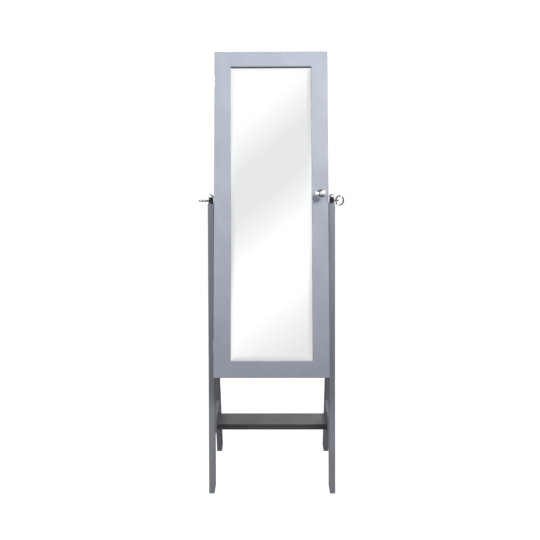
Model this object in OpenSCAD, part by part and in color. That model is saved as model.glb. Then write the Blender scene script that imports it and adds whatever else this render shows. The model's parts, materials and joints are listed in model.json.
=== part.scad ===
// Free-standing jewelry armoire: a shallow cabinet with a mirrored door that tilts between two
// A-shaped side frames. Millimetres, +Z up, the front faces -Y. The origin is on the floor under
// the middle of the whole object. Stand pieces are drawn with y counted from the tilt axis, and
// cabinet and door pieces in the cabinet's own frame, whose origin is on the tilt axis.

/* [Overall] */
// Height of the tilt axis above the floor
pivot_h = 958; // [790:1:1150]
// Gap from each edge of the door to the leg beside it
frame_gap = 5; // [4:0.5:12]
// Backward tilt of the cabinet as it stands, in degrees
rest_tilt = 14.5; // [5:0.5:18]

/* [Side frames] */
// Thickness of the legs and side rails, left to right
leg_t = 20; // [16:0.5:24]
// Depth of a leg, measured level, front to back
leg_d = 38; // [34:1:46]
// Reach of the front foot ahead of the tilt axis
front_foot_reach = 177; // [150:1:200]
// Reach of the rear foot behind the tilt axis
rear_foot_reach = 180; // [160:1:216]
// Drop from the tilt axis to the top of the front leg
post_drop = 9; // [9:1:12]
// Height at which the rear leg's back face meets the front leg
rear_join_h = 775; // [700:1:800]
// Height of the side rail's lower edge above the floor
rail_z = 178; // [120:1:220]
// Height of the side rail's own section
rail_h = 48; // [40:1:60]
// Radius worked on the long edges of the legs and rails
leg_round = 2; // [1:0.5:3]
// Width of the taper on the inner side of each foot
foot_taper_w = 2; // [1:0.5:5]
// Height of that taper
foot_taper_h = 14; // [10:1:30]

/* [Stand shelf] */
// Depth of the stand shelf, front to back
stand_shelf_d = 100; // [80:1:130]
// Thickness of the stand shelf
stand_shelf_t = 20; // [16:1:24]
// Height of the shelf's upper face above the lower edge of the rail
stand_shelf_rise = 12; // [8:1:24]

/* [Pivot hardware] */
// Radius of the pivot post's flange and cap
post_r = 9.5; // [8:0.5:10]
// Radius of the pivot post's waist
waist_r = 7.5; // [5:0.5:8]
// Height of the pivot post above the leg
post_h = 31; // [28:1:36]
// Radius of the thumbscrew's shank
shank_r = 3; // [2.5:0.5:4]
// Radius of the ring handle's wire
ring_wire_r = 2.5; // [2:0.5:3]
// Radius of the ring handle's round ends, to the middle of its wire
ring_r = 12; // [10:1:14]
// Length of the ring handle's straight sides
ring_straight = 6; // [2:1:10]
// Turn of the left ring handle about its screw, in degrees
left_ring_turn = 82; // [0:1:90]
// Radial running clearance of the screw in its bores
run_gap = 0.08; // [0.03:0.01:0.1]

/* [Cabinet] */
// Width of the door
door_w = 370; // [300:1:450]
// Height of the door
door_h = 1060; // [880:1:1280]
// Length of the door below the tilt axis
below_pivot = 578.5; // [500:0.5:620]
// Distance from the tilt axis forward to the door's front face
door_face = 62; // [58:1:75]
// Depth of the cabinet's box behind the door
carcass_d = 90; // [75:1:110]
// Thickness of the side, top and bottom panels
panel_t = 12; // [10:0.2:18]
// Thickness of the back panel
back_t = 4; // [3:0.5:6]
// Thickness of the lined board in front of the back panel
lining_t = 2; // [2:0.5:4]
// Overhang of the door past the cabinet's box on each edge
door_overhang = 2; // [1:0.5:4]
// Gap between the door's back and the cabinet's box
door_gap = 2; // [1.6:0.1:3]

/* [Door] */
// Thickness of the door frame
door_t = 18; // [16:0.5:26]
// Width of the door's two stiles
stile_w = 53; // [40:1:70]
// Height of the door's top rail
top_rail_h = 50; // [40:1:70]
// Height of the door's bottom rail
bottom_rail_h = 53; // [40:1:70]
// Depth from the door's front face down to the mirror
mirror_recess = 8; // [5:0.5:12]
// Thickness of the mirror glass
mirror_t = 3; // [3:0.5:4]
// Width of the rebate that holds the mirror
rebate_w = 8; // [6:1:14]
// Bevel on the door frame's front edges
door_bevel = 1.2; // [0.5:0.1:2.5]
// Radius of the knob's head
knob_r = 15; // [11:0.5:18]
// Distance from the door's face to the front of the knob
knob_reach = 30; // [26:1:36]
// Height of the knob above the tilt axis
knob_rise = 8; // [-100:1:100]

/* [Hinges] */
// Length of a hinge
hinge_len = 38; // [32:1:50]
// Radius of the hinge barrel
barrel_r = 2.75; // [2.5:0.05:3]
// Radius of the hinge pin
hinge_pin_r = 1.3; // [1:0.05:1.5]
// Thickness of a hinge leaf
leaf_t = 1; // [0.8:0.1:1.2]
// Distance from the door's top and bottom edges to a hinge's middle
hinge_inset = 96; // [70:1:140]

/* [Interior] */
// Thickness of the inner shelves
shelf_t = 8; // [6:1:10]
// Height of the bottom compartment
bottom_bay_h = 132; // [100:1:170]
// Height of the second compartment
second_bay_h = 122; // [100:1:160]
// Height of the ring compartment
ring_bay_h = 150; // [140:1:180]
// Height of the guard strip on the front of a shelf
lip_h = 24; // [15:1:35]
// Thickness of the guard strip
lip_t = 6; // [5:1:9]
// Depth of the grooves that hold the shelf ends
dado_d = 3; // [2:0.5:5]
// Radius of a ring roll
roll_r = 7; // [6:0.5:8]
// Number of ring rolls
roll_count = 8; // [5:1:8]
// Radius of the bracelet bar
bracelet_r = 15; // [10:1:20]
// Number of necklace pegs
peg_count = 10; // [6:1:12]

/* [Hidden] */
$fn = 64;

wood_gap = 0.05;     // clearance of a dowel or screw in its hole, on the radius
fit_gap = 0.3;       // clearance between pieces that are slipped together or move past each other
over = 1;            // how far a cutting solid runs past the face it opens
tip_gap = 0.5;       // depth left free past the tip of a screw or bar in its hole
big = 3000;          // size of the half-space blocks that trim the stand's bars

// stand
stand_w = door_w + 2 * frame_gap + 2 * leg_t;
inner_x = stand_w / 2 - leg_t;
leg_mid_x = stand_w / 2 - leg_t / 2;
post_top = pivot_h - post_drop;
front_slope = (front_foot_reach - leg_d / 2) / post_top;
front_angle = atan(front_slope);
rear_slope = (rear_foot_reach + front_foot_reach - leg_d) / rear_join_h - front_slope;
rear_angle = atan(rear_slope);
low_corner_reach = door_face * cos(rest_tilt) + below_pivot * sin(rest_tilt);
pivot_y = (low_corner_reach - rear_foot_reach) / 2;
dowel_r = 4;
dowel_len = 30;
rail_dowel_edge = 12;
join_dowel_drop = 63;
join_dowel_pitch = 20;
shelf_screw_pitch = 50;
screw_len = 45;
screw_head_r = 5;
screw_head_h = 4;
screw_hex_r = 2.5;
stud_len = 26;
stand_shelf_z = rail_z + stand_shelf_rise - stand_shelf_t;

// cabinet, in its own frame
door_top = door_h - below_pivot;
carcass_w = door_w - 2 * door_overhang;
carcass_top = door_top - door_overhang;
carcass_bottom = -below_pivot + door_overhang;
carcass_front = -door_face + door_t + door_gap;
carcass_back = carcass_front + carcass_d;
inside_x = carcass_w / 2 - panel_t;
back_rebate = panel_t / 2;
lining_front = carcass_back - back_t - lining_t;
shelf_setback = 2;
shelf_front = carcass_front + shelf_setback;
floor_z = carcass_bottom + panel_t;
lower_shelf_top = floor_z + bottom_bay_h + shelf_t;
middle_shelf_top = lower_shelf_top + second_bay_h + shelf_t;
ring_shelf_top = middle_shelf_top + ring_bay_h + shelf_t;
ceiling_z = carcass_top - panel_t;
lip_setback = 2;
lip_y = shelf_front + lip_setback;
carcass_screw_edge = 24;
carcass_screw_ys = [carcass_front + carcass_screw_edge, carcass_back - carcass_screw_edge];
nut_barrel_r = shank_r + 1.2;
nut_flange_r = 11;
nut_flange_t = 1.5;
nut_barrel_sink = 1;
shelf_end_gap = 0.2;

// what the cabinet holds inside
ring_board_t = 10;
ring_board_edge = 4;
ring_board_side_gap = 2;
ring_board_front = lining_front - ring_board_t;
ring_bay_mid = ring_shelf_top - shelf_t - ring_bay_h / 2;
roll_pitch = 2 * roll_r + 1;
roll_end_gap = 6;
earring_bar_d = 12;
earring_bar_h = 14;
earring_pitch = 45;
earring_rise = 95;
earring_z = ring_shelf_top + earring_rise;
earring_margin = 20;
earring_slot_pitch = 15;
earring_slot_margin = earring_margin + earring_slot_pitch;
earring_slot = [1.5, 8, 16];
bracelet_setback = 4;
bracelet_y = (carcass_front + lining_front) / 2 + bracelet_setback;
bracelet_rise = 45;
bracelet_z = ring_shelf_top + bracelet_rise;
bracelet_side_gap = 4;
bracelet_end_r = bracelet_r - 5;
cup_t = 6;
cup_depth = 3.5;
cup_wall = 2;
peg_rail_t = 12;
peg_rail_h = 30;
peg_rail_drop = 62;
peg_rail_z = ceiling_z - peg_rail_drop;
peg_r = 2.5;
peg_tip_r = 4.2;
peg_len = 30;
peg_root = 8;
peg_rise = 12;
peg_margin = 30;

// door
door_back = -door_face + door_t;
sight_x = door_w / 2 - stile_w;
sight_top = door_top - top_rail_h;
sight_bottom = -below_pivot + bottom_rail_h;
mirror_front = -door_face + mirror_recess;
mirror_gap = 0.4;
knob_x = door_w / 2 - stile_w / 2;
knob_base_r = 8;
knob_base_t = 3;
knob_neck_r = 5.5;
knob_head_t = 9;
knob_flare_h = 6;
knob_bore = 14;
knob_screw_r = 2;
knob_screw_grip = 12;
knob_screw_sink = 2.5;
knob_screw_head_r = 4;
knob_screw_head_t = 2;
backing_screw_out = 2.5;
backing_screw_x = sight_x + rebate_w + backing_screw_out;
backing_screw_r = 1.5;
backing_screw_len = 12;
backing_head_r = 4;
backing_head_t = 1;
backing_screw_rows = 5;
catch_rise = 30;
catch_z = knob_rise + catch_rise;
catch_h = 40;
catch_w = 13;
catch_d = 14;
catch_wall = 3;
magnet_d = 9;
magnet_margin = 8;
magnet_proud = 0.2;
strike_sink = 1;
strike_margin = 4;
strike_gap = 0.2;
bumper_r = 4;

// hinges
hinge_out = 0.5;
hinge_x = -door_w / 2 - hinge_out;
hinge_y = door_back + door_gap / 2;
knuckle_len = hinge_len / 3;
leaf_reach = 10;
hinge_screw_r = 1;
hinge_screw_len = 9;
pocket_gap = 0.1;

// thumbscrew, counted outward from the middle plane
screw_tip_x = inside_x - nut_flange_t + tip_gap;
collar_x = leg_mid_x + waist_r + fit_gap;
collar_len = 2.6;
collar_r = shank_r + 0.9;
ring_clear = 2;
ring_boss_len = 6;
ring_mid_x = stand_w / 2 + ring_clear + ring_wire_r + ring_r;
shank_end_x = ring_mid_x - ring_r + ring_boss_len;
spacer_disc_r = 9;
flange_t = 1.6;
cap_lip = 2;

paint = [0.56, 0.58, 0.62];
frame_paint = [0.45, 0.46, 0.48];
velvet = [0.12, 0.12, 0.13];
steel = [0.75, 0.76, 0.78];

// ---- helpers ----

// Corner points of a rectangle w by d with rounded corners, centred on the origin
function round_rect(w, d, r) = [
    for (c = [[1, 1, 0], [-1, 1, 90], [-1, -1, 180], [1, -1, 270]], a = [0:30:90])
        [c[0] * (w / 2 - r) + r * cos(c[2] + a), c[1] * (d / 2 - r) + r * sin(c[2] + a)]
];

// Level of the front leg's back face, and of the rear leg's front face, at height z
function front_leg_back(z) = leg_d - front_foot_reach + front_slope * z;
function rear_leg_front(z) = rear_foot_reach - leg_d - rear_slope * z;

module at_pivot() {
    translate([0, pivot_y, 0]) children();
}

module in_cabinet() {
    translate([0, pivot_y, pivot_h]) rotate([-rest_tilt, 0, 0]) children();
}

module left() {
    mirror([1, 0, 0]) children();
}

// Rod from x0 to x1 along X
module rod_x(x0, x1, r) {
    translate([x0, 0, 0]) rotate([0, 90, 0]) cylinder(h = x1 - x0, r = r);
}

// Rod along Y, with its middle at the origin
module rod_y(len, r) {
    rotate([90, 0, 0]) cylinder(h = len, r = r, center = true);
}

module block(x0, x1, y0, y1, z0, z1) {
    translate([x0, y0, z0]) cube([x1 - x0, y1 - y0, z1 - z0]);
}

// ---- side frames, right-hand side ----

module ahead_of_front_leg_back() {
    translate([0, front_leg_back(0), 0]) rotate([-front_angle, 0, 0])
        translate([-big / 2, -big, -big / 2]) cube(big);
}

module behind_rear_leg_front() {
    translate([0, rear_leg_front(0), 0]) rotate([rear_angle, 0, 0])
        translate([-big / 2, 0, -big / 2]) cube(big);
}

module foot_taper() {
    rotate([90, 0, 0]) linear_extrude(big, center = true) polygon([
        [inner_x - over, -over],
        [inner_x + foot_taper_w * (1 + over / foot_taper_h), -over],
        [inner_x, foot_taper_h],
        [inner_x - over, foot_taper_h]
    ]);
}

// Leaning bar of a leg: mid_y is the middle of its section on the floor
module leg_bar(mid_y, angle, top) {
    intersection() {
        translate([leg_mid_x, mid_y, 0]) rotate([-angle, 0, 0]) translate([0, 0, -leg_d])
            linear_extrude(pivot_h + 2 * leg_d)
                polygon(round_rect(leg_t, leg_d * cos(angle), leg_round));
        translate([0, -big / 2, 0]) cube([big, big, top]);
    }
}

module rail_dowels() {
    for (z = [rail_z + rail_dowel_edge, rail_z + rail_h - rail_dowel_edge]) {
        for (y = [front_leg_back(z), rear_leg_front(z)]) {
            translate([leg_mid_x, y, z]) rod_y(dowel_len, $dowel_r);
        }
    }
}

module join_dowels() {
    for (i = [0, 1]) {
        z = rear_join_h - join_dowel_drop - i * join_dowel_pitch;
        translate([leg_mid_x, front_leg_back(z), z]) rod_y(dowel_len, $dowel_r);
    }
}

module dowel_holes() {
    rail_dowels($dowel_r = dowel_r + wood_gap);
    join_dowels($dowel_r = dowel_r + wood_gap);
}

module front_leg() {
    color(frame_paint) at_pivot() difference() {
        leg_bar(leg_d / 2 - front_foot_reach, front_angle, post_top);
        foot_taper();
        dowel_holes();
        translate([leg_mid_x, 0, post_top - stud_len - over])
            cylinder(h = stud_len + 2 * over, r = shank_r + wood_gap);
    }
}

module rear_leg() {
    color(frame_paint) at_pivot() difference() {
        leg_bar(rear_foot_reach - leg_d / 2, -rear_angle, rear_join_h + leg_d);
        ahead_of_front_leg_back();
        foot_taper();
        dowel_holes();
    }
}

module stand_shelf_screw_places() {
    for (s = [-1, 1]) {
        translate([0, s * shelf_screw_pitch / 2, stand_shelf_z + stand_shelf_t / 2]) children();
    }
}

module side_rail() {
    color(frame_paint) at_pivot() difference() {
        translate([leg_mid_x, 0, rail_z + rail_h / 2]) rotate([90, 0, 0])
            linear_extrude(front_foot_reach + rear_foot_reach, center = true)
                polygon(round_rect(leg_t, rail_h, leg_round));
        ahead_of_front_leg_back();
        behind_rear_leg_front();
        dowel_holes();
        stand_shelf_screw_places() {
            rod_x(inner_x - over, stand_w / 2 + over, shank_r + wood_gap);
            rod_x(stand_w / 2 - screw_head_h, stand_w / 2 + over, screw_head_r + wood_gap);
        }
    }
}

module frame_dowels() {
    color("burlywood") at_pivot() for (m = [0, 1]) {
        mirror([m, 0, 0]) rail_dowels($dowel_r = dowel_r);
        mirror([m, 0, 0]) join_dowels($dowel_r = dowel_r);
    }
}

module stand_shelf() {
    color(frame_paint) at_pivot() difference() {
        translate([-inner_x, 0, stand_shelf_z + stand_shelf_t / 2]) rotate([90, 0, 90])
            linear_extrude(2 * inner_x)
                polygon(round_rect(stand_shelf_d, stand_shelf_t, leg_round));
        for (m = [0, 1]) mirror([m, 0, 0]) stand_shelf_screw_places()
            rod_x(stand_w / 2 - screw_len - over, stand_w / 2, shank_r + wood_gap);
    }
}

module stand_shelf_screws() {
    color(steel) at_pivot() for (m = [0, 1]) mirror([m, 0, 0]) stand_shelf_screw_places()
        difference() {
            union() {
                rod_x(stand_w / 2 - screw_len, stand_w / 2, shank_r);
                rod_x(stand_w / 2 - screw_head_h, stand_w / 2, screw_head_r);
            }
            translate([stand_w / 2 - screw_head_h / 2, 0, 0]) rotate([0, 90, 0])
                cylinder(h = screw_head_h, r = screw_hex_r, $fn = 6);
        }
}

// ---- pivot hardware, right-hand side ----

// Half outline of the turned pivot post: flange, waist and domed cap
module pivot_post_profile() {
    cap_z = post_h - post_r;
    cove_r = post_r - waist_r;
    low_z = flange_t + cove_r;
    high_z = cap_z - cap_lip - cove_r;
    difference() {
        union() {
            square([post_r, cap_z]);
            intersection() {
                translate([0, cap_z]) circle(r = post_r);
                translate([0, cap_z - over]) square([post_r, post_r + 2 * over]);
            }
        }
        for (z = [low_z, high_z]) translate([post_r, z]) circle(r = cove_r);
        translate([waist_r, low_z]) square([post_r, high_z - low_z]);
    }
}

module pivot_post() {
    color(steel) at_pivot() difference() {
        translate([leg_mid_x, 0, post_top]) union() {
            rotate_extrude() pivot_post_profile();
            translate([0, 0, -stud_len]) cylinder(h = stud_len + over, r = shank_r);
        }
        translate([0, 0, pivot_h]) rod_x(inner_x - over, stand_w / 2 + over, shank_r + run_gap);
    }
}

module ring_half() {
    translate([0, 0, ring_straight / 2]) rotate([90, 0, 0]) rotate_extrude(angle = 180)
        translate([ring_r, 0]) circle(r = ring_wire_r);
}

module thumbscrew(turn) {
    color(steel) at_pivot() translate([0, 0, pivot_h]) rotate([turn, 0, 0]) union() {
        rod_x(screw_tip_x, shank_end_x, shank_r);
        translate([shank_end_x, 0, 0]) sphere(r = shank_r);
        rod_x(collar_x, collar_x + collar_len, collar_r);
        translate([ring_mid_x, 0, 0]) {
            ring_half();
            mirror([0, 0, 1]) ring_half();
            for (s = [-1, 1]) translate([s * ring_r, 0, 0])
                cylinder(h = ring_straight, r = ring_wire_r, center = true);
        }
    }
}

module pivot_spacer() {
    color("whitesmoke") in_cabinet() difference() {
        union() {
            rod_x(carcass_w / 2, inner_x - fit_gap, spacer_disc_r);
            rod_x(carcass_w / 2, leg_mid_x - waist_r - fit_gap, collar_r);
        }
        rod_x(carcass_w / 2 - over, leg_mid_x, shank_r + run_gap);
    }
}

module tee_nut() {
    color(steel) in_cabinet() difference() {
        union() {
            rod_x(inside_x - nut_flange_t, inside_x, nut_flange_r);
            rod_x(inside_x - nut_flange_t, carcass_w / 2 - nut_barrel_sink, nut_barrel_r);
        }
        rod_x(inside_x - nut_flange_t - over, carcass_w / 2 + over, shank_r + run_gap);
    }
}

// ---- cabinet box ----

module back_recess() {
    block(-inside_x - back_rebate, inside_x + back_rebate, carcass_back - back_t,
        carcass_back + over, carcass_bottom + back_rebate, carcass_top - back_rebate);
}

// Shelf with its ends in the side panels' grooves, end_gap short of their bottoms
module shelf_plate(top, end_gap) {
    block(-inside_x - dado_d + end_gap, inside_x + dado_d - end_gap, shelf_front, lining_front,
        top - shelf_t, top);
}

module carcass_screw_places() {
    for (z = [carcass_bottom + panel_t / 2, carcass_top - panel_t / 2], y = carcass_screw_ys) {
        translate([0, y, z]) children();
    }
}

module carcass_screw_holes() {
    for (m = [0, 1]) mirror([m, 0, 0]) carcass_screw_places() {
        rod_x(carcass_w / 2 - screw_len, carcass_w / 2 + over, shank_r + wood_gap);
        rod_x(carcass_w / 2 - screw_head_h, carcass_w / 2 + over, screw_head_r + wood_gap);
    }
}

// Right-hand side panel; the left-hand one is its mirror image with the hinges' recesses added
module side_panel_solid() {
    difference() {
        block(inside_x, carcass_w / 2, carcass_front, carcass_back, carcass_bottom, carcass_top);
        back_recess();
        for (top = [lower_shelf_top, middle_shelf_top, ring_shelf_top]) shelf_plate(top, 0);
        carcass_screw_holes();
        rod_x(inside_x - over, carcass_w / 2 + over, nut_barrel_r + wood_gap);
    }
}

module right_side_panel() {
    color(paint) in_cabinet() side_panel_solid();
}

module left_side_panel() {
    color(paint) in_cabinet() difference() {
        left() side_panel_solid();
        hinge_places() {
            barrel_room();
            leaf_pocket(carcass_front - over, carcass_front + leaf_t);
            cabinet_hinge_screws(wood_gap);
        }
    }
}

module end_panel(z0) {
    color(paint) in_cabinet() difference() {
        block(-inside_x, inside_x, carcass_front, carcass_back, z0, z0 + panel_t);
        back_recess();
        carcass_screw_holes();
    }
}

module back_panel() {
    color(paint) in_cabinet() block(
        -inside_x - back_rebate + fit_gap, inside_x + back_rebate - fit_gap,
        carcass_back - back_t, carcass_back,
        carcass_bottom + back_rebate + fit_gap, carcass_top - back_rebate - fit_gap);
}

module back_lining() {
    color(velvet) in_cabinet() block(-inside_x + fit_gap, inside_x - fit_gap, lining_front,
        lining_front + lining_t, floor_z + fit_gap, ceiling_z - fit_gap);
}

module carcass_screws() {
    color(steel) in_cabinet() for (m = [0, 1]) mirror([m, 0, 0]) carcass_screw_places() union() {
        rod_x(carcass_w / 2 - screw_len + tip_gap, carcass_w / 2, shank_r);
        rod_x(carcass_w / 2 - screw_head_h, carcass_w / 2, screw_head_r);
    }
}

// ---- cabinet interior ----

module inner_shelf(top) {
    color(paint) in_cabinet() shelf_plate(top, shelf_end_gap);
}

module shelf_lip(z0) {
    color(paint) in_cabinet() block(-inside_x + fit_gap, inside_x - fit_gap, lip_y, lip_y + lip_t,
        z0, z0 + lip_h);
}

module ring_board() {
    half = roll_count * roll_pitch / 2 + ring_board_edge;
    color(velvet) in_cabinet() block(-inside_x + ring_board_side_gap,
        inside_x - ring_board_side_gap, ring_board_front, lining_front,
        ring_bay_mid - half, ring_bay_mid + half);
}

module ring_rolls() {
    color(velvet) in_cabinet() for (i = [0:roll_count - 1]) {
        translate([0, ring_board_front - roll_r,
            ring_bay_mid + (i - (roll_count - 1) / 2) * roll_pitch])
            rod_x(-inside_x + roll_end_gap, inside_x - roll_end_gap, roll_r);
    }
}

module earring_bars() {
    slot_reach = inside_x - earring_slot_margin;
    color(velvet) in_cabinet() for (i = [0:2]) difference() {
        block(-inside_x + earring_margin, inside_x - earring_margin,
            lining_front - earring_bar_d, lining_front,
            earring_z + i * earring_pitch, earring_z + i * earring_pitch + earring_bar_h);
        for (x = [-slot_reach:earring_slot_pitch:slot_reach]) {
            translate([x, lining_front - earring_bar_d,
                earring_z + i * earring_pitch + earring_bar_h])
                cube(earring_slot, center = true);
        }
    }
}

module bracelet_bar() {
    bar_reach = inside_x - cup_t - bracelet_side_gap;
    end_reach = inside_x - cup_t + cup_depth - tip_gap;
    color(velvet) in_cabinet() translate([0, bracelet_y, bracelet_z]) union() {
        rod_x(-bar_reach, bar_reach, bracelet_r);
        rod_x(-end_reach, end_reach, bracelet_end_r);
    }
}

module bracelet_cups() {
    color(paint) in_cabinet() for (m = [0, 1]) mirror([m, 0, 0])
        translate([0, bracelet_y, bracelet_z]) difference() {
            rod_x(inside_x - cup_t, inside_x, bracelet_r + cup_wall);
            rod_x(inside_x - cup_t - over, inside_x - cup_t + cup_depth, bracelet_end_r + wood_gap);
        }
}

module peg_places() {
    pitch = (2 * inside_x - 2 * peg_margin) / (peg_count - 1);
    for (i = [0:peg_count - 1]) {
        translate([-inside_x + peg_margin + i * pitch, lining_front - peg_rail_t,
            peg_rail_z + peg_rail_h / 2])
            rotate([90 - peg_rise, 0, 0]) children();
    }
}

module necklace_rail() {
    color(paint) in_cabinet() difference() {
        block(-inside_x + fit_gap, inside_x - fit_gap, lining_front - peg_rail_t, lining_front,
            peg_rail_z, peg_rail_z + peg_rail_h);
        peg_places() translate([0, 0, -peg_root - over])
            cylinder(h = 2 * peg_root + 2 * over, r = peg_r + wood_gap);
    }
}

module necklace_pegs() {
    color(steel) in_cabinet() peg_places() union() {
        translate([0, 0, -peg_root]) cylinder(h = peg_len + peg_root, r = peg_r);
        translate([0, 0, peg_len]) sphere(r = peg_tip_r);
    }
}

module catch_body() {
    color("white") in_cabinet() difference() {
        block(inside_x - catch_w, inside_x, carcass_front, carcass_front + catch_d, catch_z,
            catch_z + catch_h);
        block(inside_x - catch_w + catch_wall, inside_x - catch_wall, carcass_front - over,
            carcass_front + magnet_d, catch_z + magnet_margin, catch_z + catch_h - magnet_margin);
    }
}

module catch_magnet() {
    color("dimgray") in_cabinet() block(inside_x - catch_w + catch_wall, inside_x - catch_wall,
        carcass_front - magnet_proud, carcass_front + magnet_d, catch_z + magnet_margin,
        catch_z + catch_h - magnet_margin);
}

// ---- door ----

// Cutter for a 45 degree bevel along an edge of length len on X, the edge at the origin
module bevel_cut(len) {
    rotate([45, 0, 0]) cube([len, door_bevel * sqrt(2), door_bevel * sqrt(2)], center = true);
}

module door_frame_solid() {
    difference() {
        block(-door_w / 2, door_w / 2, -door_face, door_back, -below_pivot, door_top);
        block(-sight_x, sight_x, -door_face - over, door_back + over, sight_bottom, sight_top);
        block(-sight_x - rebate_w, sight_x + rebate_w, mirror_front, door_back + over,
            sight_bottom - rebate_w, sight_top + rebate_w);
    }
}

// Prism along Y over a quadrilateral of [x, z] points
module door_prism(points) {
    translate([0, door_back + over, 0]) rotate([90, 0, 0])
        linear_extrude(door_t + 2 * over) polygon(points);
}

module right_stile_solid() {
    difference() {
        intersection() {
            door_frame_solid();
            door_prism([[sight_x, sight_bottom], [door_w / 2, -below_pivot], [door_w / 2, door_top],
                [sight_x, sight_top]]);
        }
        for (x = [sight_x, door_w / 2])
            translate([x, -door_face, 0]) rotate([0, 90, 0]) bevel_cut(big);
        backing_screw_places() rod_y(2 * backing_screw_len, backing_screw_r + wood_gap);
    }
}

// Rail between two levels, its ends mitred into the stiles
module rail_solid(inner_z, outer_z) {
    difference() {
        intersection() {
            door_frame_solid();
            door_prism([[-sight_x, inner_z], [sight_x, inner_z], [door_w / 2, outer_z],
                [-door_w / 2, outer_z]]);
        }
        for (z = [inner_z, outer_z]) translate([0, -door_face, z]) bevel_cut(big);
    }
}

module backing_screw_places() {
    for (s = [-1, 1], i = [0:backing_screw_rows - 1]) {
        z = sight_bottom + (sight_top - sight_bottom) * (i + 0.5) / backing_screw_rows;
        translate([s * backing_screw_x, door_back, z]) children();
    }
}

module latch_stile() {
    color(paint) in_cabinet() difference() {
        right_stile_solid();
        translate([knob_x, door_back, knob_rise]) rod_y(3 * door_t, knob_screw_r + wood_gap);
        translate([knob_x, door_back, knob_rise])
            rod_y(2 * knob_screw_sink, knob_screw_head_r + strike_gap);
        block(inside_x - catch_w, inside_x, door_back - strike_sink, door_back + over,
            catch_z + strike_margin, catch_z + catch_h - strike_margin);
    }
}

module hinge_stile() {
    color(paint) in_cabinet() difference() {
        left() right_stile_solid();
        hinge_places() {
            barrel_room();
            leaf_pocket(door_back - leaf_t, door_back + over);
            door_hinge_screws(wood_gap);
        }
    }
}

module door_top_rail() {
    color(paint) in_cabinet() rail_solid(sight_top, door_top);
}

module door_bottom_rail() {
    color(paint) in_cabinet() rail_solid(sight_bottom, -below_pivot);
}

module mirror_glass() {
    color("lightcyan") in_cabinet() block(
        -sight_x - rebate_w + mirror_gap, sight_x + rebate_w - mirror_gap,
        mirror_front, mirror_front + mirror_t,
        sight_bottom - rebate_w + mirror_gap, sight_top + rebate_w - mirror_gap);
}

module door_backing() {
    color(velvet) in_cabinet() block(-sight_x - rebate_w + mirror_gap,
        sight_x + rebate_w - mirror_gap, mirror_front + mirror_t, door_back,
        sight_bottom - rebate_w + mirror_gap, sight_top + rebate_w - mirror_gap);
}

// Screws in the stiles whose flat heads overlap the backing's edges and hold it and the glass in
module backing_screws() {
    color(steel) in_cabinet() backing_screw_places() union() {
        translate([0, -(backing_screw_len - tip_gap) / 2, 0])
            rod_y(backing_screw_len - tip_gap, backing_screw_r);
        translate([0, backing_head_t / 2, 0]) rod_y(backing_head_t, backing_head_r);
    }
}

module knob() {
    head_z = knob_reach - knob_head_t;
    color(steel) in_cabinet() translate([knob_x, -door_face, knob_rise]) rotate([90, 0, 0])
        difference() {
            rotate_extrude() union() {
                square([knob_base_r, knob_base_t]);
                square([knob_neck_r, head_z]);
                polygon([[0, head_z - knob_flare_h], [knob_neck_r + 1.5, head_z - knob_flare_h],
                    [knob_r - 1.5, head_z - 1], [knob_r, head_z + 1.5],
                    [knob_r - 0.8, head_z + 4], [knob_r / 2, head_z + 7.5],
                    [0, head_z + knob_head_t]]);
            }
            translate([0, 0, -over]) cylinder(h = knob_bore + over, r = knob_screw_r + wood_gap);
        }
}

module knob_screw() {
    tip = -door_face - knob_screw_grip;
    head = door_back - knob_screw_sink;
    color(steel) in_cabinet() translate([knob_x, 0, knob_rise]) union() {
        translate([0, (head + tip) / 2, 0]) rod_y(head - tip, knob_screw_r);
        translate([0, head + knob_screw_head_t / 2, 0]) rod_y(knob_screw_head_t, knob_screw_head_r);
    }
}

module strike_plate() {
    color(steel) in_cabinet() block(inside_x - catch_w + strike_gap, inside_x - strike_gap,
        door_back - strike_sink, carcass_front - magnet_proud - fit_gap,
        catch_z + strike_margin + strike_gap, catch_z + catch_h - strike_margin - strike_gap);
}

module door_bumpers() {
    color("gainsboro") in_cabinet() for (z = [sight_bottom, sight_top])
        translate([carcass_w / 2 - panel_t / 2, door_back + (door_gap - fit_gap) / 2, z])
            rod_y(door_gap - fit_gap, bumper_r);
}

// ---- hinges: each child is drawn about the middle of a hinge's pin ----

module hinge_places() {
    for (z = [-below_pivot + hinge_inset, door_top - hinge_inset]) {
        translate([0, 0, z]) children();
    }
}

module barrel_room() {
    translate([hinge_x, hinge_y, 0])
        cylinder(h = hinge_len + 2 * fit_gap, r = barrel_r + fit_gap, center = true);
}

module leaf_pocket(y0, y1) {
    block(hinge_x, hinge_x + barrel_r + leaf_reach + pocket_gap, y0, y1,
        -hinge_len / 2 - pocket_gap, hinge_len / 2 + pocket_gap);
}

module knuckle(z0, len) {
    translate([hinge_x, hinge_y, z0]) cylinder(h = len, r = barrel_r);
}

module pin_bore() {
    translate([hinge_x, hinge_y, 0])
        cylinder(h = hinge_len + 2 * over, r = hinge_pin_r + run_gap, center = true);
}

module hinge_screw_set(y, way, gap) {
    for (z = [-hinge_len / 3, hinge_len / 3]) {
        translate([hinge_x + barrel_r + leaf_reach * 0.6, y + way * hinge_screw_len / 2, z])
            rod_y(hinge_screw_len, hinge_screw_r + gap);
    }
}

module cabinet_hinge_screws(gap) {
    hinge_screw_set(carcass_front, 1, gap);
}

module door_hinge_screws(gap) {
    hinge_screw_set(door_back, -1, gap);
}

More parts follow.
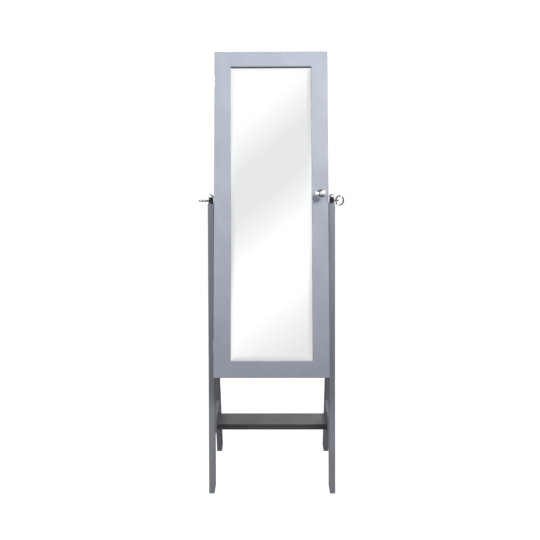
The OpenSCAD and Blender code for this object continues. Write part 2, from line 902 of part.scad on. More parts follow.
// Leaf on the cabinet: carries the two outer knuckles
module cabinet_leaf() {
    clear_x = hinge_x + barrel_r + fit_gap;
    difference() {
        union() {
            block(clear_x, hinge_x + barrel_r + leaf_reach, carcass_front, carcass_front + leaf_t,
                -hinge_len / 2, hinge_len / 2);
            for (s = [-1, 1]) {
                z0 = s > 0 ? hinge_len / 6 + fit_gap / 2 : -hinge_len / 2;
                knuckle(z0, knuckle_len - fit_gap / 2);
                block(hinge_x, clear_x + over, carcass_front, carcass_front + leaf_t, z0,
                    z0 + knuckle_len - fit_gap / 2);
            }
        }
        pin_bore();
        cabinet_hinge_screws(wood_gap);
    }
}

// Leaf on the door: carries the middle knuckle
module door_leaf() {
    clear_x = hinge_x + barrel_r + fit_gap;
    mid_len = knuckle_len - fit_gap;
    difference() {
        union() {
            block(clear_x, hinge_x + barrel_r + leaf_reach, door_back - leaf_t, door_back,
                -hinge_len / 2, hinge_len / 2);
            knuckle(-mid_len / 2, mid_len);
            block(hinge_x, clear_x + over, door_back - leaf_t, door_back, -mid_len / 2, mid_len / 2);
        }
        pin_bore();
        door_hinge_screws(wood_gap);
    }
}

module hinge_pin() {
    translate([hinge_x, hinge_y, 0]) cylinder(h = hinge_len + fit_gap, r = hinge_pin_r, center = true);
}

module at_upper() {
    color(steel) in_cabinet() translate([0, 0, door_top - hinge_inset]) children();
}

module at_lower() {
    color(steel) in_cabinet() translate([0, 0, -below_pivot + hinge_inset]) children();
}

module hinge_screws_cabinet() {
    color(steel) in_cabinet() hinge_places() cabinet_hinge_screws(0);
}

module hinge_screws_door() {
    color(steel) in_cabinet() hinge_places() door_hinge_screws(0);
}

left() front_leg();  // left_front_leg
front_leg();  // right_front_leg
left() rear_leg();  // left_rear_leg
rear_leg();  // right_rear_leg
left() side_rail();  // left_side_rail
side_rail();  // right_side_rail
frame_dowels();
stand_shelf();
stand_shelf_screws();
left() pivot_post();  // left_pivot_post
pivot_post();  // right_pivot_post
left() thumbscrew(left_ring_turn);  // left_thumbscrew
thumbscrew(0);  // right_thumbscrew
left() pivot_spacer();  // left_pivot_spacer
pivot_spacer();  // right_pivot_spacer
left() tee_nut();  // left_tee_nut
tee_nut();  // right_tee_nut
left_side_panel();
right_side_panel();
end_panel(carcass_top - panel_t);  // top_panel
end_panel(carcass_bottom);  // bottom_panel
back_panel();
back_lining();
carcass_screws();
inner_shelf(lower_shelf_top);  // lower_shelf
inner_shelf(middle_shelf_top);  // middle_shelf
inner_shelf(ring_shelf_top);  // ring_shelf
shelf_lip(floor_z);  // bottom_lip
shelf_lip(lower_shelf_top);  // lower_lip
shelf_lip(middle_shelf_top);  // middle_lip
ring_board();
ring_rolls();
earring_bars();
bracelet_bar();
bracelet_cups();
necklace_rail();
necklace_pegs();
catch_body();
catch_magnet();
hinge_stile();
latch_stile();
door_top_rail();
door_bottom_rail();
mirror_glass();
door_backing();
backing_screws();
knob();
knob_screw();
strike_plate();
door_bumpers();
at_upper() cabinet_leaf();  // upper_cabinet_leaf
at_upper() door_leaf();  // upper_door_leaf
at_upper() hinge_pin();  // upper_hinge_pin
at_lower() cabinet_leaf();  // lower_cabinet_leaf
at_lower() door_leaf();  // lower_door_leaf
at_lower() hinge_pin();  // lower_hinge_pin
hinge_screws_cabinet();
hinge_screws_door();
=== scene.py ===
"""Looks of a free-standing jewelry armoire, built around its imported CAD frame. Metres, +Z up."""

import json
import math
import random

import bmesh
import bpy
from mathutils import Matrix, Vector


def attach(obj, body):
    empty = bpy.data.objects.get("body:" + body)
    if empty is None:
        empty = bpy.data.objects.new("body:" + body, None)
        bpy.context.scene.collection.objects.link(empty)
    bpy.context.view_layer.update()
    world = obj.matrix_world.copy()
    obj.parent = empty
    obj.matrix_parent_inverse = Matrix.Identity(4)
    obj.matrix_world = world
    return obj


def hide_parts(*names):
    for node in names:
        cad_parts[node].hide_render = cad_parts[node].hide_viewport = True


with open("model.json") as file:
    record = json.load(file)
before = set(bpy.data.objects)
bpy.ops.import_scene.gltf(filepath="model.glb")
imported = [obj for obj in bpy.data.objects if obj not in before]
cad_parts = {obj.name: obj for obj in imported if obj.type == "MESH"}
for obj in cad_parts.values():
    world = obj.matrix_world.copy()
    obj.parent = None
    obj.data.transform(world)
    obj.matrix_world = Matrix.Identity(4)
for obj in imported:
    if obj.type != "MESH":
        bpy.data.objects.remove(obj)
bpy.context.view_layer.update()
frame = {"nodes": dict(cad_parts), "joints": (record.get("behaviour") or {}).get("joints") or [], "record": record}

SEED = 11
MM = 0.001
# A stuffed roll's nominal radius, as a share of its CAD radius
ROLL_SHARE = 0.985

nodes = frame["nodes"]
joints = {joint["name"]: joint for joint in frame["joints"]}
pivot = Vector(joints["cabinet_tilt"]["pos_m"])
hinge_line = Vector(joints["door_swing"]["axis"])
tilt = math.atan2(-hinge_line.y, -hinge_line.z)
# The cabinet's own frame: origin on the tilt axis, Y through its depth, Z up its height
CABINET = Matrix.Translation(pivot) @ Matrix.Rotation(-tilt, 4, "X")


def own_box(node):
    """Lowest and highest corners of a CAD node in the cabinet's own frame."""
    inverse = CABINET.inverted()
    points = [inverse @ vertex.co for vertex in nodes[node].data.vertices]
    low = Vector([min(point[axis] for point in points) for axis in range(3)])
    high = Vector([max(point[axis] for point in points) for axis in range(3)])
    return low, high


def shaded(color, factor):
    """The colour with each channel multiplied by a factor."""
    return tuple(channel * factor for channel in color)


# ---- camera, world, lights and floor ----

def make_camera():
    data = bpy.data.cameras.new("camera")
    data.lens = 46.67
    data.sensor_width = 36
    ahead_of_pivot = 2.324
    aside = 0.018
    eye_height = 1.171
    camera = bpy.data.objects.new("camera", data)
    bpy.context.scene.collection.objects.link(camera)
    camera.location = (aside, pivot.y - ahead_of_pivot, eye_height)
    pitch_down = math.radians(10.9)
    turn_left = math.radians(0.58)
    roll = math.radians(-0.27)
    heading = Matrix.Rotation(turn_left, 4, "Z") @ Matrix.Rotation(math.pi / 2 - pitch_down, 4, "X")
    camera.rotation_euler = (heading @ Matrix.Rotation(roll, 4, "Z")).to_euler()
    bpy.context.scene.camera = camera


class Graph:
    """A node tree with short ways to add a node and join two sockets."""

    def __init__(self, tree):
        self.tree = tree
        tree.nodes.clear()

    def add(self, kind, **settings):
        node = self.tree.nodes.new(kind)
        for name, value in settings.items():
            setattr(node, name, value)
        return node

    def link(self, source, target):
        self.tree.links.new(source, target)

    def put(self, socket, value):
        """Joins a socket to another, or sets its value."""
        if isinstance(value, bpy.types.NodeSocket):
            self.link(value, socket)
        else:
            socket.default_value = value

    def math(self, operation, a, b=0.0, clamp=False):
        node = self.add("ShaderNodeMath", operation=operation, use_clamp=clamp)
        self.put(node.inputs[0], a)
        self.put(node.inputs[1], b)
        return node.outputs[0]

    def ramp(self, value, stops):
        node = self.add("ShaderNodeValToRGB")
        elements = node.color_ramp.elements
        while len(elements) < len(stops):
            elements.new(0.5)
        for element, (position, level) in zip(elements, stops):
            element.position = position
            element.color = (level, level, level, 1) if isinstance(level, float) else (*level, 1)
        self.put(node.inputs["Fac"], value)
        return node.outputs["Color"]

    def noise(self, vector, scale, detail=4.0, roughness=0.5):
        node = self.add("ShaderNodeTexNoise")
        self.put(node.inputs["Vector"], vector)
        node.inputs["Scale"].default_value = scale
        node.inputs["Detail"].default_value = detail
        node.inputs["Roughness"].default_value = roughness
        return node.outputs["Fac"]

    def mix(self, factor, a, b):
        # Inputs 6 and 7 and output 2 are the node's colour sockets
        node = self.add("ShaderNodeMix", data_type="RGBA")
        self.put(node.inputs["Factor"], factor)
        self.put(node.inputs[6], a if isinstance(a, bpy.types.NodeSocket) else (*a, 1))
        self.put(node.inputs[7], b if isinstance(b, bpy.types.NodeSocket) else (*b, 1))
        return node.outputs[2]


def make_world():
    """A studio that polished things see as a white wall with slanting grey bands, side boxes and dark gaps.

    The camera sees plain white, and everything else is lit by a soft even fill."""
    world = bpy.data.worlds.new("studio")
    bpy.context.scene.world = world
    world.use_nodes = True
    graph = Graph(world.node_tree)
    parts = graph.add("ShaderNodeSeparateXYZ")
    graph.link(graph.add("ShaderNodeTexCoord").outputs["Generated"], parts.inputs[0])
    x, y, z = parts.outputs
    band_slope = 0.71
    slant = graph.math("SUBTRACT", z, graph.math("MULTIPLY", x, band_slope))
    bands = graph.ramp(slant, [(0.0, 0.77), (0.17, 0.77), (0.215, 0.86), (0.27, 1.0), (0.35, 1.0),
                               (0.385, 0.88), (0.42, 0.785), (0.474, 0.785), (0.50, 0.87), (0.54, 1.0)])
    aside = graph.math("ABSOLUTE", x)
    wall_width = graph.ramp(aside, [(0.13, 1.0), (0.20, 0.0)])
    wall_height = graph.ramp(z, [(0.03, 0.0), (0.10, 1.0), (0.62, 1.0), (0.72, 0.0)])
    side_width = graph.ramp(aside, [(0.40, 0.0), (0.50, 1.0)])
    side_height = graph.ramp(graph.math("ABSOLUTE", z), [(0.42, 1.0), (0.55, 0.0)])
    wall = graph.math("MULTIPLY", wall_width, wall_height)
    side = graph.math("MULTIPLY", side_width, side_height)
    gap = (0.17, 0.175, 0.19)
    white = (1.0, 1.0, 1.0)
    seen = graph.mix(side, graph.mix(wall, gap, bands), white)
    fill = (0.95, 0.97, 1.0)
    fill_strength = 0.46
    wall_strength = 1.1
    rays = graph.add("ShaderNodeLightPath")

    def background(color, strength):
        node = graph.add("ShaderNodeBackground")
        graph.put(node.inputs["Color"], color)
        node.inputs["Strength"].default_value = strength
        return node.outputs[0]

    def choose(ray, otherwise, shader):
        node = graph.add("ShaderNodeMixShader")
        graph.link(rays.outputs[ray], node.inputs[0])
        graph.link(otherwise, node.inputs[1])
        graph.link(shader, node.inputs[2])
        return node.outputs[0]

    lit = choose("Is Glossy Ray", background((*fill, 1), fill_strength), background(seen, wall_strength))
    shown = choose("Is Camera Ray", lit, background((*white, 1), wall_strength))
    out = graph.add("ShaderNodeOutputWorld")
    graph.link(shown, out.inputs["Surface"])
    bpy.context.scene.view_settings.view_transform = "Standard"


def add_light(name, place, aim, size, power, spread=180):
    data = bpy.data.lights.new(name, "AREA")
    data.size = size
    data.energy = power
    data.spread = math.radians(spread)
    light = bpy.data.objects.new(name, data)
    bpy.context.scene.collection.objects.link(light)
    light.location = place
    light.rotation_euler = (Vector(aim) - Vector(place)).to_track_quat("-Z", "Y").to_euler()


def make_lights():
    add_light("key", place=(1.0, -1.15, 2.10), aim=(0, 0, 1.20), size=0.7, power=12, spread=95)
    add_light("left_fill", place=(-1.6, -1.0, 1.9), aim=(0, 0, 1.10), size=0.9, power=11, spread=95)
    add_light("back_fill", place=(0.4, 2.2, 2.0), aim=(0, 0, 0.8), size=1.2, power=10)


def make_floor():
    """Grey paper. It also glows, for the camera alone, so that it shows white."""
    half = 30.0
    below_feet = 0.4 * MM
    grey = (0.26, 0.26, 0.265)
    glow_strength = 0.90
    corners = [(-half, -half, 0), (half, -half, 0), (half, half, 0), (-half, half, 0)]
    mesh = bpy.data.meshes.new("floor")
    mesh.from_pydata(corners, [], [(0, 1, 2, 3)])
    floor = bpy.data.objects.new("floor", mesh)
    bpy.context.scene.collection.objects.link(floor)
    floor.location.z = -below_feet
    material = bpy.data.materials.new("floor")
    material.use_nodes = True
    graph = Graph(material.node_tree)
    paper = graph.add("ShaderNodeBsdfDiffuse")
    paper.inputs["Color"].default_value = (*grey, 1)
    glow = graph.add("ShaderNodeEmission")
    glow.inputs["Strength"].default_value = glow_strength
    white = graph.add("ShaderNodeAddShader")
    graph.link(paper.outputs[0], white.inputs[0])
    graph.link(glow.outputs[0], white.inputs[1])
    shown = graph.add("ShaderNodeMixShader")
    graph.link(graph.add("ShaderNodeLightPath").outputs["Is Camera Ray"], shown.inputs[0])
    graph.link(paper.outputs[0], shown.inputs[1])
    graph.link(white.outputs[0], shown.inputs[2])
    out = graph.add("ShaderNodeOutputMaterial")
    graph.link(shown.outputs[0], out.inputs["Surface"])
    mesh.materials.append(material)


# ---- materials ----

def start_material(name):
    material = bpy.data.materials.new(name)
    material.use_nodes = True
    graph = Graph(material.node_tree)
    shader = graph.add("ShaderNodeBsdfPrincipled")
    out = graph.add("ShaderNodeOutputMaterial")
    graph.link(shader.outputs[0], out.inputs["Surface"])
    place = graph.add("ShaderNodeTexCoord").outputs["Object"]
    return material, graph, shader, place


def bump(graph, shader, height, strength, distance, edge_radius=0.0):
    node = graph.add("ShaderNodeBump")
    node.inputs["Strength"].default_value = strength
    node.inputs["Distance"].default_value = distance
    graph.link(height, node.inputs["Height"])
    if edge_radius:
        bevel = graph.add("ShaderNodeBevel", samples=4)
        bevel.inputs["Radius"].default_value = edge_radius
        graph.link(bevel.outputs[0], node.inputs["Normal"])
    graph.link(node.outputs[0], shader.inputs["Normal"])


def stretched(graph, place, scale):
    node = graph.add("ShaderNodeMapping")
    graph.link(place, node.inputs["Vector"])
    node.inputs["Scale"].default_value = scale
    return node.outputs[0]


def worn_edges(graph, radius):
    """1 along edges that hands and cloths rub, 0 on flat faces."""
    bevel = graph.add("ShaderNodeBevel", samples=4)
    bevel.inputs["Radius"].default_value = radius
    normal = graph.add("ShaderNodeNewGeometry").outputs["True Normal"]
    dot = graph.add("ShaderNodeVectorMath", operation="DOT_PRODUCT")
    graph.link(bevel.outputs[0], dot.inputs[0])
    graph.link(normal, dot.inputs[1])
    gain = 3.0
    turned = graph.math("SUBTRACT", 1.0, dot.outputs["Value"])
    return graph.math("MULTIPLY", turned, gain, clamp=True)


def paint(name, color, grain, rubbed_edges=True):
    """Satin paint over board: brushed grain, faint mottling, orange peel and lighter rubbed edges."""
    material, graph, shader, place = start_material(name)
    mottle = graph.noise(place, scale=9, detail=5)
    fibres = graph.noise(stretched(graph, place, grain), scale=1, detail=6, roughness=0.62)
    peel = graph.noise(place, scale=900, detail=2)
    darker = shaded(color, 0.93)
    lighter = tuple(min(1, channel * 1.05) for channel in color)
    body = graph.mix(graph.ramp(mottle, [(0.35, 0.0), (0.65, 1.0)]), darker, lighter)
    streaked = graph.mix(graph.ramp(fibres, [(0.42, 0.0), (0.7, 0.35)]), body, darker)
    if rubbed_edges:
        rubbed = tuple(min(1, channel * 1.35 + 0.02) for channel in color)
        patches = graph.ramp(graph.noise(place, scale=60, detail=6), [(0.4, 0.0), (0.62, 0.7)])
        streaked = graph.mix(graph.math("MULTIPLY", worn_edges(graph, 1.2 * MM), patches), streaked, rubbed)
    graph.link(streaked, shader.inputs["Base Color"])
    graph.link(graph.ramp(mottle, [(0.3, 0.40), (0.7, 0.50)]), shader.inputs["Roughness"])
    shader.inputs["Specular IOR Level"].default_value = 0.42
    height = graph.math("ADD", graph.math("MULTIPLY", peel, 0.5), fibres)
    edge_radius = 0.7 * MM if rubbed_edges else 0.0
    bump(graph, shader, height, strength=0.10, distance=0.25 * MM, edge_radius=edge_radius)
    return material


def chrome(name, color, roughness):
    """Plated metal with wipe marks and hairline scratches."""
    material, graph, shader, place = start_material(name)
    shader.inputs["Metallic"].default_value = 1.0
    wipes = graph.noise(place, scale=160, detail=6)
    hairs = graph.noise(stretched(graph, place, scale=(900, 90, 2600)), scale=1, detail=3)
    graph.link(graph.ramp(wipes, [(0.3, shaded(color, 0.93)), (0.7, color)]), shader.inputs["Base Color"])
    graph.link(graph.ramp(wipes, [(0.35, roughness), (0.75, roughness + 0.09)]), shader.inputs["Roughness"])
    bump(graph, shader, hairs, strength=0.04, distance=0.05 * MM, edge_radius=0.3 * MM)
    return material


def plated_post(name, color, dark_below):
    """Pivot post: a bright plated cap above a given height, over a waist and flange coloured near black as a
    painted dark reflection.
    """
    material, graph, shader, place = start_material(name)
    shader.inputs["Metallic"].default_value = 1.0
    parts = graph.add("ShaderNodeSeparateXYZ")
    graph.link(place, parts.inputs[0])
    # Painted dark reflection: below the cap the plating is coloured near black, standing in for the dark
    # reflection on the waist and flange
    painted_dark_reflection = (0.09, 0.088, 0.085)
    edge_sharpness = 900.0
    wobble = graph.math("MULTIPLY", graph.noise(place, scale=300, detail=4), 1.0 * MM)
    height = graph.math("ADD", parts.outputs["Z"], wobble)
    cap = graph.math("MULTIPLY", graph.math("SUBTRACT", height, dark_below), edge_sharpness, clamp=True)
    wipes = graph.noise(place, scale=180, detail=6)
    graph.link(graph.mix(cap, painted_dark_reflection, color), shader.inputs["Base Color"])
    graph.link(graph.ramp(wipes, [(0.35, 0.24), (0.75, 0.38)]), shader.inputs["Roughness"])
    bump(graph, shader, wipes, strength=0.06, distance=0.05 * MM, edge_radius=0.4 * MM)
    return material


def brushed_steel(name, color):
    """Zinc-plated steel with drawn lines and a dulled, patchy surface."""
    material, graph, shader, place = start_material(name)
    shader.inputs["Metallic"].default_value = 1.0
    shader.inputs["Anisotropic"].default_value = 0.4
    lines = graph.noise(stretched(graph, place, scale=(300, 300, 6000)), scale=1, detail=3)
    patches = graph.noise(place, scale=220, detail=5)
    graph.link(graph.ramp(patches, [(0.3, shaded(color, 0.82)), (0.7, color)]), shader.inputs["Base Color"])
    graph.link(graph.ramp(lines, [(0.3, 0.26), (0.7, 0.42)]), shader.inputs["Roughness"])
    bump(graph, shader, lines, strength=0.08, distance=0.05 * MM, edge_radius=0.2 * MM)
    return material


def velvet(name, color):
    """Flocked velvet: short pile with nap marks and a soft sheen."""
    material, graph, shader, place = start_material(name)
    nap = graph.noise(place, scale=26, detail=5)
    pile = graph.noise(place, scale=2600, detail=2, roughness=0.7)
    tuft = graph.noise(place, scale=700, detail=3)
    nap_marks = graph.ramp(nap, [(0.35, 0.0), (0.65, 1.0)])
    pile_tips = graph.ramp(pile, [(0.4, 0.0), (0.8, 0.5)])
    shade = graph.mix(nap_marks, shaded(color, 0.8), shaded(color, 1.3))
    graph.link(graph.mix(pile_tips, shade, shaded(color, 3.2)), shader.inputs["Base Color"])
    shader.inputs["Roughness"].default_value = 0.92
    shader.inputs["Specular IOR Level"].default_value = 0.15
    shader.inputs["Sheen Weight"].default_value = 0.55
    shader.inputs["Sheen Roughness"].default_value = 0.45
    bump(graph, shader, graph.math("ADD", pile, tuft), strength=0.5, distance=0.25 * MM, edge_radius=0.6 * MM)
    return material


def nylon(name, color, roughness, clear=0.0):
    """Moulded plastic with a fine spark-eroded skin, which can be partly clear."""
    material, graph, shader, place = start_material(name)
    skin = graph.noise(place, scale=1800, detail=3)
    flow = graph.noise(place, scale=45, detail=3)
    graph.link(graph.ramp(flow, [(0.3, shaded(color, 0.95)), (0.7, color)]), shader.inputs["Base Color"])
    graph.link(graph.ramp(skin, [(0.3, roughness), (0.7, roughness + 0.12)]), shader.inputs["Roughness"])
    shader.inputs["Subsurface Weight"].default_value = 0.15
    shader.inputs["Subsurface Scale"].default_value = 1.5 * MM
    shader.inputs["Transmission Weight"].default_value = clear
    bump(graph, shader, skin, strength=0.12, distance=0.08 * MM, edge_radius=0.4 * MM)
    return material


def beech(name):
    """Raw turned beech: pale, with fine dark flecks drawn out along Y."""
    material, graph, shader, place = start_material(name)
    rings = graph.noise(stretched(graph, place, scale=(260, 40, 260)), scale=1, detail=5)
    flecks = graph.noise(stretched(graph, place, scale=(1400, 160, 1400)), scale=1, detail=2)
    pale, tan, dark = (0.62, 0.44, 0.26), (0.50, 0.33, 0.18), (0.33, 0.20, 0.10)
    body = graph.mix(graph.ramp(rings, [(0.35, 0.0), (0.65, 1.0)]), pale, tan)
    fleck_marks = graph.ramp(flecks, [(0.60, 0.0), (0.72, 0.7)])
    graph.link(graph.mix(fleck_marks, body, dark), shader.inputs["Base Color"])
    shader.inputs["Roughness"].default_value = 0.62
    bump(graph, shader, flecks, strength=0.2, distance=0.1 * MM)
    return material


def ferrite(name):
    """Sintered magnet: dark, granular and slightly glossy."""
    material, graph, shader, place = start_material(name)
    grain = graph.noise(place, scale=1500, detail=4)
    dark, pale = (0.02, 0.02, 0.022), (0.07, 0.07, 0.075)
    graph.link(graph.ramp(grain, [(0.3, dark), (0.75, pale)]), shader.inputs["Base Color"])
    graph.link(graph.ramp(grain, [(0.3, 0.38), (0.7, 0.6)]), shader.inputs["Roughness"])
    bump(graph, shader, grain, strength=0.3, distance=0.1 * MM, edge_radius=0.3 * MM)
    return material


def silvered_glass(name, color, rim_painted_shade):
    """Mirror: almost smooth, with painted shade darkening it towards its rim, and the faintest wipe haze and float
    ripple.
    """
    material, graph, shader, place = start_material(name)
    shader.inputs["Metallic"].default_value = 1.0
    haze = graph.noise(place, scale=14, detail=5)
    ripple = graph.noise(place, scale=5, detail=1)
    face = graph.ramp(haze, [(0.3, shaded(color, 0.99)), (0.7, color)])
    # Painted shade: the bevelled rim gets a darker base colour, standing in for the darker reflection of the bevel
    rim = graph.add("ShaderNodeAttribute", attribute_name="rim").outputs["Fac"]
    graph.link(graph.mix(rim, face, rim_painted_shade), shader.inputs["Base Color"])
    graph.link(graph.ramp(haze, [(0.4, 0.012), (0.8, 0.04)]), shader.inputs["Roughness"])
    shader.inputs["Coat Weight"].default_value = 0.25
    shader.inputs["Coat Roughness"].default_value = 0.01
    bump(graph, shader, ripple, strength=0.02, distance=0.2 * MM)
    return material


def make_materials():
    along_x, along_y, along_z = (8, 160, 160), (160, 8, 160), (160, 160, 8)
    stand_grey = (0.222, 0.235, 0.258)
    # Painted shade: the stand shelf has the stand's paint, and this darker grey stands in for the shade on it
    shelf_shaded_grey = (0.085, 0.088, 0.092)
    cabinet_grey = (0.262, 0.284, 0.330)
    cap_bottom = pivot.z + 10.5 * MM
    return {
        "stand_paint": paint("stand_paint", stand_grey, along_z),
        "stand_shelf": paint("stand_shelf_painted_shade", shelf_shaded_grey, along_x),
        "cabinet_paint": paint("cabinet_paint", cabinet_grey, along_z),
        "stile_paint": paint("stile_paint", cabinet_grey, along_z, rubbed_edges=False),
        "rail_paint": paint("rail_paint", cabinet_grey, along_x, rubbed_edges=False),
        "side_rail_paint": paint("side_rail_paint", stand_grey, along_y),
        "dowel_wood": beech("dowel_wood"),
        "chrome": chrome("chrome", (0.80, 0.81, 0.83), roughness=0.07),
        "nickel": chrome("nickel", (0.42, 0.42, 0.43), roughness=0.14),
        "pivot_post": plated_post("pivot_post", (0.86, 0.86, 0.84), cap_bottom),
        "steel": brushed_steel("steel", (0.62, 0.63, 0.65)),
        "nylon": nylon("nylon", (0.80, 0.80, 0.78), roughness=0.42),
        "velvet": velvet("velvet", (0.018, 0.018, 0.020)),
        "magnet": ferrite("magnet"),
        "mirror": silvered_glass("mirror", (0.935, 0.94, 0.942), rim_painted_shade=(0.74, 0.755, 0.75)),
        "bumper": nylon("bumper", (0.82, 0.83, 0.84), roughness=0.25, clear=0.5),
    }


def dress_cad_nodes(materials):
    """Every CAD node gets its slot's procedural material, or its own where grain, colour or metal differs; the
    stand shelf's own darker paint is painted shade.
    """
    slots = {part["node"]: part["material_slot"] for part in frame["record"]["subparts"]}
    # The stand shelf's darker paint is painted shade
    own = {
        "left_side_rail": "side_rail_paint", "right_side_rail": "side_rail_paint",
        "stand_shelf": "stand_shelf", "door_top_rail": "rail_paint", "door_bottom_rail": "rail_paint",
        "left_pivot_post": "pivot_post", "right_pivot_post": "pivot_post",
        "left_thumbscrew": "nickel", "right_thumbscrew": "nickel",
    }
    same = {"door_paint": "stile_paint", "lined_board": "velvet"}
    for name, node in nodes.items():
        wanted = own.get(name) or same.get(slots[name], slots[name])
        node.data.materials.clear()
        node.data.materials.append(materials[wanted])


# ---- pieces that replace plain CAD solids ----

def new_piece(name, bm, material, body, matrix=CABINET, smooth=True):
    mesh = bpy.data.meshes.new(name)
    bmesh.ops.recalc_face_normals(bm, faces=bm.faces)
    for face in bm.faces:
        face.smooth = smooth
    bm.to_mesh(mesh)
    bm.free()
    piece = bpy.data.objects.new(name, mesh)
    bpy.context.scene.collection.objects.link(piece)
    mesh.transform(matrix)
    mesh.materials.append(material)
    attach(piece, body)
    return piece


def stitch(bm, rings):
    """Faces between rings of equally many vertices. A ring of one vertex closes an end."""
    for low, high in zip(rings, rings[1:]):
        steps = max(len(low), len(high))
        for i in range(steps):
            j = (i + 1) % steps
            if len(low) == 1:
                bm.faces.new((low[0], high[i], high[j]))
            elif len(high) == 1:
                bm.faces.new((low[i], low[j], high[0]))
            else:
                bm.faces.new((low[i], low[j], high[j], high[i]))


def lathe(profile, steps=96):
    """Solid turned about +Z from (radius, height) points that start and end on the axis."""
    bm = bmesh.new()
    rings = []
    for radius, height in profile:
        if radius == 0:
            rings.append([bm.verts.new((0, 0, height))])
        else:
            rings.append([bm.verts.new((radius * math.cos(a), radius * math.sin(a), height))
                          for a in (2 * math.pi * i / steps for i in range(steps))])
    stitch(bm, rings)
    return bm


def make_mirror(materials):
    """Mirror plate whose front falls away towards its rim in a wide shallow bevel."""
    low, high = own_box("mirror_glass")
    bevel_width = 25 * MM
    bevel_drop = 0.8 * MM
    steps = 6
    bm = bmesh.new()
    # The rim layer holds each vertex's share of the mirror's painted shade, 1 at the outer edge and 0 where the
    # bevel ends
    rim = bm.verts.layers.float.new("rim")

    def ring(inset, y, rim_share):
        corners = [(low.x + inset, low.z + inset), (high.x - inset, low.z + inset),
                   (high.x - inset, high.z - inset), (low.x + inset, high.z - inset)]
        verts = [bm.verts.new((x, y, z)) for x, z in corners]
        for vert in verts:
            vert[rim] = rim_share
        return verts

    rings = [ring(0, high.y, 1.0)]
    for i in range(steps + 1):
        share = 1 - i / steps
        rings.append(ring(bevel_width * (1 - share), low.y + bevel_drop * share ** 2, share))
    bm.faces.new(rings[0])
    bm.faces.new(rings[-1])
    stitch(bm, rings)
    piece = new_piece("bevelled_mirror", bm, materials["mirror"], "door", smooth=False)
    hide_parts("mirror_glass")


def make_knob(materials):
    """Turned knob: base plate, waisted neck and a domed head with a fine turned bead."""
    low, high = own_box("knob")
    reach = high.y - low.y
    radius = (high.x - low.x) / 2
    collar = 7 * MM
    base_top = 3 * MM
    neck = 0.36 * radius
    neck_flare = 1.6 * MM
    neck_steps = 12
    head = reach - 9 * MM
    neck_top = head - 5 * MM
    dome = head + 4.0 * MM
    dome_radius = radius - 2.4 * MM
    dome_steps = 10
    # In mm: the base as radius and height, and the bead as distance in from the knob's radius and height
    # above the start of its head
    base = [(8, 0), (8.2, 0.6), (8, 2.2)]
    bead = [(2.2, -0.6), (0.4, 0.6), (0, 1.6), (0.2, 2.8), (0.9, 3.6), (1.5, 3.8), (2.0, 3.6)]
    profile = [(0, 0)]
    profile += [(out * MM, up * MM) for out, up in base]
    profile.append((collar, base_top))
    for i in range(1, neck_steps):
        share = i / neck_steps
        flare = neck_flare * math.cos(math.pi * share) ** 2
        profile.append((neck + flare, base_top + (neck_top - base_top) * share))
    profile.append((collar, neck_top))
    profile += [(radius - inset * MM, head + up * MM) for inset, up in bead]
    for i in range(dome_steps):
        a = math.pi / 2 * i / dome_steps
        profile.append((dome_radius * math.cos(a), dome + (reach - dome) * math.sin(a)))
    profile.append((0, reach))
    bm = lathe(profile)
    middle = Vector(((low.x + high.x) / 2, high.y, (low.z + high.z) / 2))
    forward = Matrix.Translation(middle) @ Matrix.Rotation(math.pi / 2, 4, "X")
    piece = new_piece("turned_knob", bm, materials["chrome"], "door", CABINET @ forward)
    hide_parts("knob")


def stuffed_roll(name, radius, length, swell, sag_seed):
    """A velvet roll stuffed with foam, as a mesh along X at the origin. Simulated at ten times its size."""
    scale = 10.0
    face_length = 5 * MM
    around, along = 28, max(40, int(length / face_length))
    dome = radius * 0.55
    unfilled_share = 0.95
    smallest_ring = 0.05 * radius
    pleats, pleat_depth = 7, 0.06
    unevenness = 0.012
    rng = random.Random(SEED + sag_seed)
    bm = bmesh.new()
    rings = []
    for i in range(along + 1):
        t = i / along
        x = (t - 0.5) * length
        shoulder = min(1.0, (length / 2 - abs(x)) / dome)
        r = radius * unfilled_share * math.sqrt(max(0.0, 1 - (1 - shoulder) ** 2))
        if r < smallest_ring:
            rings.append([bm.verts.new((x * scale, 0, 0))])
            continue
        ring = []
        for k in range(around):
            a = 2 * math.pi * k / around
            pleat = 1 + pleat_depth * math.cos(pleats * a + sag_seed) * (1 - shoulder)
            wobble = 1 + rng.uniform(-unevenness, unevenness)
            out = r * pleat * wobble * scale
            ring.append(bm.verts.new((x * scale, out * math.cos(a), out * math.sin(a))))
        rings.append(ring)
    stitch(bm, rings)
    bmesh.ops.recalc_face_normals(bm, faces=bm.faces)
    mesh = bpy.data.meshes.new(name)
    bm.to_mesh(mesh)
    bm.free()
    roll = bpy.data.objects.new(name, mesh)
    bpy.context.scene.collection.objects.link(roll)
    inflate(roll, scale)
    limit = (radius + swell) * scale
    for vertex in roll.data.vertices:
        out = math.hypot(vertex.co.y, vertex.co.z)
        if out > limit:
            vertex.co.y *= limit / out
            vertex.co.z *= limit / out
        vertex.co.x = max(-length / 2 * scale, min(length / 2 * scale, vertex.co.x))
    roll.data.transform(Matrix.Scale(1 / scale, 4))
    for polygon in roll.data.polygons:
        polygon.use_smooth = True
    return roll


def inflate(piece, scale):
    """Fills a closed cloth piece with pressure, and applies the result."""
    cloth = piece.modifiers.new("cloth", "CLOTH")
    cloth.settings.use_pressure = True
    cloth.settings.uniform_pressure_force = 4
    cloth.settings.effector_weights.gravity = 0
    cloth.settings.tension_stiffness = 40
    cloth.settings.compression_stiffness = 12
    cloth.settings.bending_stiffness = 0.6
    cloth.settings.mass = 0.15
    cloth.settings.quality = 6
    scene = bpy.context.scene
    last_step = 14
    for step in range(1, last_step + 1):
        scene.frame_set(step)
    graph = bpy.context.evaluated_depsgraph_get()
    settled = bpy.data.meshes.new_from_object(piece.evaluated_get(graph))
    piece.modifiers.clear()
    piece.data = settled
    scene.frame_set(1)


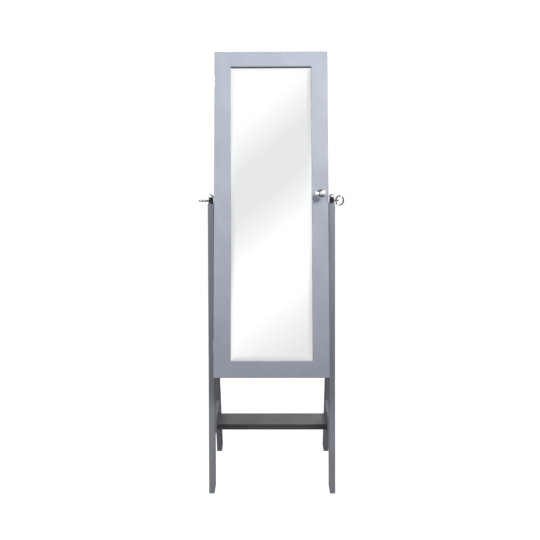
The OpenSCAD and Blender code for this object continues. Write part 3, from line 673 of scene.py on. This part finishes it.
def finish_roll(roll, material, body, place, turn, replaced):
    roll.data.transform(place @ Matrix.Rotation(turn, 4, "X"))
    roll.data.materials.clear()
    roll.data.materials.append(material)
    smooth = roll.modifiers.new("smooth", "SUBSURF")
    smooth.levels = smooth.render_levels = 1
    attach(roll, body)
    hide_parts(replaced)


def make_ring_rolls(materials):
    """The ring rolls: one simulated roll, copied down the board with a turn of its own each time."""
    low, high = own_box("ring_rolls")
    radius = (high.y - low.y) / 2
    count = 8
    turn_each = 1.1
    pitch = (high.z - low.z - 2 * radius) / (count - 1)
    first = stuffed_roll("ring_roll_1", radius * ROLL_SHARE, high.x - low.x, swell=0.3 * MM, sag_seed=1)
    rolls = [first]
    for i in range(1, count):
        roll = bpy.data.objects.new(f"ring_roll_{i + 1}", first.data.copy())
        bpy.context.scene.collection.objects.link(roll)
        rolls.append(roll)
    for i, roll in enumerate(rolls):
        middle = Vector(((low.x + high.x) / 2, (low.y + high.y) / 2, low.z + radius + i * pitch))
        place = CABINET @ Matrix.Translation(middle)
        finish_roll(roll, materials["velvet"], "cabinet", place, turn_each * i, "ring_rolls")


def make_bracelet_bar(materials):
    """The padded bar for bracelets, stuffed round its wooden rod, whose ends show in the cups."""
    low, high = own_box("bracelet_bar")
    radius = (high.z - low.z) / 2
    bare_end = 7.5 * MM
    turn = 0.4
    length = high.x - low.x
    middle = (low + high) / 2
    place = CABINET @ Matrix.Translation(middle)
    bar = stuffed_roll("bracelet_pad", radius * ROLL_SHARE, length - 2 * bare_end, swell=0.4 * MM, sag_seed=5)
    finish_roll(bar, materials["velvet"], "cabinet", place, turn, "bracelet_bar")
    half = length / 2
    rod_radius = radius * 0.66
    rod_end = radius * 0.62
    chamfer = 1 * MM
    rod = lathe([(0, -half), (rod_end, -half), (rod_radius, -half + chamfer),
                 (rod_radius, half - chamfer), (rod_end, half), (0, half)], steps=48)
    piece = new_piece("bracelet_rod", rod, materials["velvet"], "cabinet",
                      place @ Matrix.Rotation(math.pi / 2, 4, "Y"))
    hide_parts("bracelet_bar")


make_camera()
make_world()
make_lights()
make_floor()
MATERIALS = make_materials()
dress_cad_nodes(MATERIALS)
make_mirror(MATERIALS)
make_knob(MATERIALS)
make_ring_rolls(MATERIALS)
make_bracelet_bar(MATERIALS)
